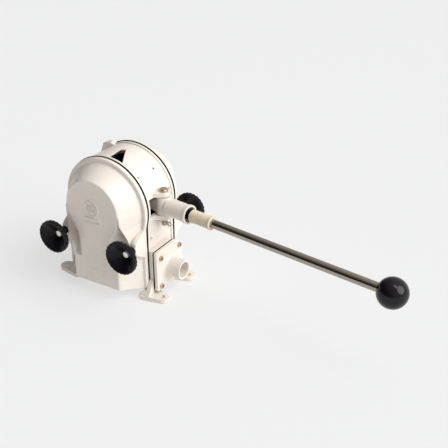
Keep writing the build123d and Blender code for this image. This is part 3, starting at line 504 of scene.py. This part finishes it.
def cover(side, name, count=640, rings=210, crowding=0.85, chamber_rings=40, chamber_tip=0.03):
    """Closed shell: outer skin, rim, joint face and chamber. The skin's rings lie closer together towards
    the middle, and the chamber's end at the tip, a small share of its opening."""
    turns, reach = case_ring(count)
    # rim, its rounded edge and the outer skin, from the joint face inwards
    rim = FLANGE_Y - RIM_ROUND - JOINT_Y
    rows = [(reach, np.full(count, JOINT_Y + share * rim)) for share in (0, 0.35, 0.7)]
    rounding = RIM_ROUND * (1 - np.cos(np.linspace(0, math.pi / 2, 6)))
    skin = [reach - step for step in rounding[:-1]]
    skin += [(reach - RIM_ROUND) * share for share in (1 - np.linspace(0, 1, rings) ** crowding)[:-1]]
    rows += [(radius, cover_height(*ring_place(turns, radius))) for radius in skin]
    # joint face and chamber
    opening = np.minimum(reach - JOINT_WIDTH, CHAMBER_REACH)
    inner_rows = [(opening, np.full(count, JOINT_Y))]
    for share in np.linspace(1, chamber_tip, chamber_rings):
        radius = opening * share
        height = cover_height(*ring_place(turns, radius)) - WALL
        slope = JOINT_Y + (1 - share) * CHAMBER_SLOPE
        inner_rows.append((radius, np.clip(np.minimum(height, slope), JOINT_Y, None)))

    tip = float(cover_height(np.zeros(1), np.full(1, float(CENTRE_Z)))[0])
    points, faces, starts = [], [], []
    for lines, end in ((rows, tip), (inner_rows, CHAMBER_END_Y)):
        start = len(points)
        starts.append(start)
        for radius, height in lines:
            x, z = ring_place(turns, radius)
            points += list(zip(x, side * height, z + DRUM_Z))
        faces += [tuple(start + k for k in face) for face in grid_faces(len(lines), count)]
        last, centre = start + (len(lines) - 1) * count, len(points)
        points.append((0, side * end, DRUM_Z + CENTRE_Z))
        faces += [(last + j, last + (j + 1) % count, centre) for j in range(count)]
    outer, inner = starts
    faces += [(outer + j, outer + (j + 1) % count, inner + (j + 1) % count, inner + j) for j in range(count)]
    return make(f"{name}_cover_shell", points, faces, "cast_enamel", "root", f"{name}_cover", angle=50)


# Knobs ------------------------------------------------------------------------------------------

def knob(side, end, hand, which):
    """Dished, scalloped hand knob on a long hub, as (distance from the middle plane, radius)."""
    lobes, steps_per_lobe, scallop_depth = 24, 12, 0.95
    scallop_start, scallop_run = 25, 7

    def scallop(s, r, turn):
        rim = min(max((r - scallop_start) / scallop_run, 0), 1)
        return r - rim * scallop_depth * (0.5 - 0.5 * math.cos(lobes * turn)) ** 2

    hub = [(82, 6), (82, 8.2), (94, 8.2), (98.5, 11)]
    back_and_rim = [(106, 24), (108.2, 31), (109.4, 32.3), (116.6, 32.3), (117.7, 31.2), (117.7, 28.6)]
    dish = [(116.4, 27), (101.8, 7.4), (101, 6.6), (101, 6)]
    profile = rounded(hub + back_and_rim + dish, 1.3) + hub[:1]
    return lathe(f"{end}_{which}_hand_knob", profile, (hand * STUD_X, 0, STUD_Z), (0, side, 0),
                 "black_plastic", f"{end}_{which}_knob_body", f"{end}_{which}_knob",
                 around=lobes * steps_per_lobe, shape=scallop, angle=45)


# Diaphragms -------------------------------------------------------------------------------------

SHEET_Y = 43.0            # middle of the clamped sheet
BAND_OUTER, BAND_WIDTH, BAND_STEPS = 67.6, 24.6, 48
BAND_HALF, BAND_SWELL = 1.0, 0.5                # half thickness, and more at the band's middle
BAND_ROLL = 5
ROLL_POWER, SWELL_POWER = 1.3, 8                # how sharply the roll and the swell peak
RIB_COUNT, RIB_HEIGHT = 9, 0.18
HUB_RADIUS, BORE_RADIUS = 38, 6.2               # flat middle under the plates
KEPT_RADIUS = 66.9        # the CAD sheet is kept outside this
BEAD_OUT, BEAD_HALF, BEAD_INSET = 1.6, 2.5, 0.5 # bead that stands out of the joint


def clamped_sheet(end, centre):
    """Points and faces of the CAD sheet outside the band, closed along its inner edge."""
    work = bmesh.new()
    work.from_mesh(NODES[f"{end}_diaphragm"].data)
    band = [v for v in work.verts if math.hypot(v.co.x, v.co.z - centre) < KEPT_RADIUS * MM]
    bmesh.ops.delete(work, geom=band, context="VERTS")
    rim = [e for e in work.edges if e.is_boundary]
    if rim:
        bmesh.ops.bridge_loops(work, edges=rim)
    sheet = bpy.data.meshes.new(f"{end}_sheet")
    work.to_mesh(sheet)
    work.free()
    points = [tuple(v.co / MM) for v in sheet.vertices]
    faces = [tuple(p.vertices) for p in sheet.polygons]
    bpy.data.meshes.remove(sheet)
    return points, faces


def band_profile(side):
    """Closed line of (y, radius): the rolling band and the flat middle, front and back."""
    flat, shift = SHEET_Y * side, DRIVE_SHIFT
    line = []
    for k in range(BAND_STEPS + 1):
        t = k / BAND_STEPS
        ease = t * t * (3 - 2 * t)
        roll = BAND_ROLL * side * math.sin(math.pi * t) ** ROLL_POWER
        rib = RIB_HEIGHT * math.cos(2 * math.pi * RIB_COUNT * t) if 0 < k < BAND_STEPS else 0
        half = BAND_HALF + BAND_SWELL * math.sin(math.pi * t) ** SWELL_POWER + rib
        line.append((flat + shift * ease + roll, BAND_OUTER - BAND_WIDTH * t, half))
    front = [(y + half, r) for y, r, half in line]
    back = [(y - half, r) for y, r, half in line]
    near, far = flat + shift + BAND_HALF, flat + shift - BAND_HALF
    inner = [(near, HUB_RADIUS), (near, BORE_RADIUS), (far, BORE_RADIUS), (far, HUB_RADIUS)]
    return front + inner + back[::-1] + [front[0]]


def diaphragm(side, end, around=128, bead_steps=360, bead_around=12):
    """Clamped sheet with its openings, a rolling band that follows the drive, and an outer bead."""
    points, faces = clamped_sheet(end, DRUM_Z * MM)
    start, profile = len(points), band_profile(side)
    for y, r in profile:
        for j in range(around):
            turn = 2 * math.pi * j / around
            points.append((r * math.cos(turn), y, DRUM_Z + r * math.sin(turn)))
    faces += [tuple(start + k for k in face) for face in grid_faces(len(profile), around)]
    start = len(points)
    for turn, radius in zip(*case_ring(bead_steps, BEAD_INSET)):
        for k in range(bead_around):
            a = 2 * math.pi * k / bead_around
            x, z = ring_place(turn, radius + BEAD_OUT * math.cos(a))
            points.append((x, SHEET_Y * side + BEAD_HALF * math.sin(a), z + DRUM_Z))
    ring = grid_faces(bead_steps, bead_around)
    last = (bead_steps - 1) * bead_around
    ring += [(last + k, last + (k + 1) % bead_around, (k + 1) % bead_around, k) for k in range(bead_around)]
    faces += [tuple(start + k for k in face) for face in ring]
    piece = make(f"{end}_rolling_diaphragm", points, faces, "rubber", None, f"{end}_diaphragm", angle=40)
    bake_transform(piece)
    return piece


# Build ------------------------------------------------------------------------------------------

CAD_SHARP_ANGLE = math.radians(28)

for node, piece in NODES.items():
    piece.data.materials.clear()
    piece.data.materials.append(MATERIALS[SLOT_OF[node]])
    piece.data.shade_smooth()
    piece.data.set_sharp_from_angle(angle=CAD_SHARP_ANGLE)

for side, end in SIDES:
    cover(side, end)
    diaphragm(side, end)
    for hand, which in HANDS:
        knob(side, end, hand, which)

# Handle, along the lever's line from the pivot. Lines are (distance along the handle, radius).
HANDLE_AXIS = (math.cos(REST_ANGLE), math.sin(REST_ANGLE), 0)
HANDLE_ORIGIN = (PIVOT_X, 0, DRUM_Z)
BALL_AT, BALL_RADIUS, BALL_STEPS = 469, 25.5, 64
BALL_MOUTH = 180 - 30.6   # degrees round the ball to the flat round the tube
TUBE_RADIUS, TUBE_BORE, TUBE_START, TUBE_END = 8, 6.5, 30, 466.5
SOCKET_BORE = 8.06        # clear of the tube
SHANK_START, SHANK_END = 26, 69.2
SLEEVE_RADIUS, SLEEVE_END = 12, 115.5
RIBS, RIB_START, RIB_PITCH = 16, 71.2, 2.6
GROOVE_RADIUS, GROOVE_NEAR, GROOVE_FAR, GROOVE_END = 11.35, 0.35, 0.95, 1.3
POLE_RADIUS = 0.01        # least radius of a turned line that closes on its axis
BALL_SOCKET_END, BALL_SOCKET_MOUTH = 466.9, 447.2

ball_line = [(BALL_SOCKET_END, POLE_RADIUS), (BALL_SOCKET_END, SOCKET_BORE), (BALL_SOCKET_MOUTH, SOCKET_BORE),
             (447.0, 8.4)]
for k in range(BALL_STEPS + 1):
    a = math.radians(BALL_MOUTH - BALL_MOUTH * k / BALL_STEPS)
    ball_line.append((BALL_AT + BALL_RADIUS * math.cos(a), max(BALL_RADIUS * math.sin(a), POLE_RADIUS)))
ball = lathe("ball_grip", ball_line, HANDLE_ORIGIN, HANDLE_AXIS, "black_plastic", "handle", "handle_ball",
             around=128)
ball.data.materials[0] = BALL_GLOSS

tube_line = [(TUBE_START, TUBE_BORE), (TUBE_START, TUBE_RADIUS), (TUBE_END, TUBE_RADIUS),
             (TUBE_END, TUBE_BORE)]
lathe("bright_tube", rounded(tube_line, 0.3) + tube_line[:1], HANDLE_ORIGIN, HANDLE_AXIS, "polished_tube",
      "handle", "handle_tube", around=96)

shank = [(SHANK_START, SOCKET_BORE), (SHANK_START, 9.6), (68.4, 9.6), (69, 10.2), (69, 11.6),
         (69.5, SLEEVE_RADIUS)]
collar = [(112.3, SLEEVE_RADIUS), (112.5, 12.6), (113, 13.1), (114.9, 13.1), (SLEEVE_END, 12.5),
          (SLEEVE_END, SOCKET_BORE)]
grooves = []
for k in range(RIBS):
    rib = RIB_START + RIB_PITCH * k
    grooves += [(rib, SLEEVE_RADIUS), (rib + GROOVE_NEAR, GROOVE_RADIUS), (rib + GROOVE_FAR, GROOVE_RADIUS),
                (rib + GROOVE_END, SLEEVE_RADIUS)]
ribbed = lathe("ribbed_sleeve", shank + grooves + collar + shank[:1], HANDLE_ORIGIN, HANDLE_AXIS,
               "sleeve_plastic", "handle", "handle_sleeve", around=96, angle=40)
# the shank's faces, up to the ribs, are coloured with the dark rubber material
ribbed.data.materials.append(MATERIALS["rubber"])
shank_end = Vector(HANDLE_ORIGIN) * MM + Vector(HANDLE_AXIS) * SHANK_END * MM
for face in ribbed.data.polygons:
    if (face.center - shank_end).dot(Vector(HANDLE_AXIS)) < 0:
        face.material_index = 1


# Stage ------------------------------------------------------------------------------------------

FLOOR_REACH = 6
KEY_TOWARD = (-0.80, -0.04, -0.60)
SKY_BRIGHT_SIDE = (0.70, 0.55, 0.46)
SOFTBOX_AT, SOFTBOX_AIM = Vector((0.9, -0.2, 1.5)), Vector((0.2, 0, 0.15))
# the photograph's viewing angle
CAMERA_AT, CAMERA_TOWARD, CAMERA_LENS = (0.8525, -1.0713, 0.8395), (-0.44630, 0.75918, -0.47378), 64.12


def floor():
    """Pale paper floor that glows a little, so that it stays nearly white."""
    reach = FLOOR_REACH
    corners = [(-reach, -reach, 0), (reach, -reach, 0), (reach, reach, 0), (-reach, reach, 0)]
    mesh = bpy.data.meshes.new("floor")
    mesh.from_pydata(corners, [], [(0, 1, 2, 3)])
    sheet = put("floor", mesh)
    paper, _, shader = material("paper", (0.30, 0.30, 0.30), 0.9, specular=0.1)
    shader.inputs["Emission Color"].default_value = (0.985, 0.992, 1, 1)
    shader.inputs["Emission Strength"].default_value = 0.57
    sheet.data.materials.append(paper)


def surround():
    """Warm surround, brightest above and behind the pump on its right."""
    world = bpy.data.worlds.new("studio")
    bpy.context.scene.world = world
    world.use_nodes = True
    sky = world.node_tree
    background = sky.nodes["Background"]
    background.inputs["Color"].default_value = (1.0, 0.955, 0.91, 1)
    place = sky.nodes.new("ShaderNodeTexCoord")
    toward = sky.nodes.new("ShaderNodeVectorMath")
    toward.operation = "DOT_PRODUCT"
    toward.inputs[1].default_value = SKY_BRIGHT_SIDE
    sky.links.new(place.outputs["Generated"], toward.inputs[0])
    strength = remap(sky, toward.outputs["Value"], -0.45, 0.75, 0.04, 0.85)
    sky.links.new(strength, background.inputs["Strength"])


def lamps():
    """Broad key on the lever's side, which leaves the front face in soft shade, and a small softbox
    over the handle for the highlights on the ball and the tube."""
    key = bpy.data.lights.new("key", "SUN")
    key.energy = 2.4
    key.angle = math.radians(50)
    key.color = (0.93, 0.975, 1.0)
    put("key", key, toward=KEY_TOWARD)

    softbox = bpy.data.lights.new("softbox", "AREA")
    softbox.shape = "RECTANGLE"
    softbox.size, softbox.size_y = 0.35, 0.6
    softbox.energy = 2.5
    put("softbox", softbox, SOFTBOX_AT, SOFTBOX_AIM - SOFTBOX_AT)


def camera():
    lens = bpy.data.cameras.new("camera")
    lens.lens = CAMERA_LENS
    lens.sensor_width = 36
    bpy.context.scene.camera = put("camera", lens, CAMERA_AT, CAMERA_TOWARD)


floor()
surround()
lamps()
camera()
bpy.context.scene.view_settings.view_transform = "Standard"
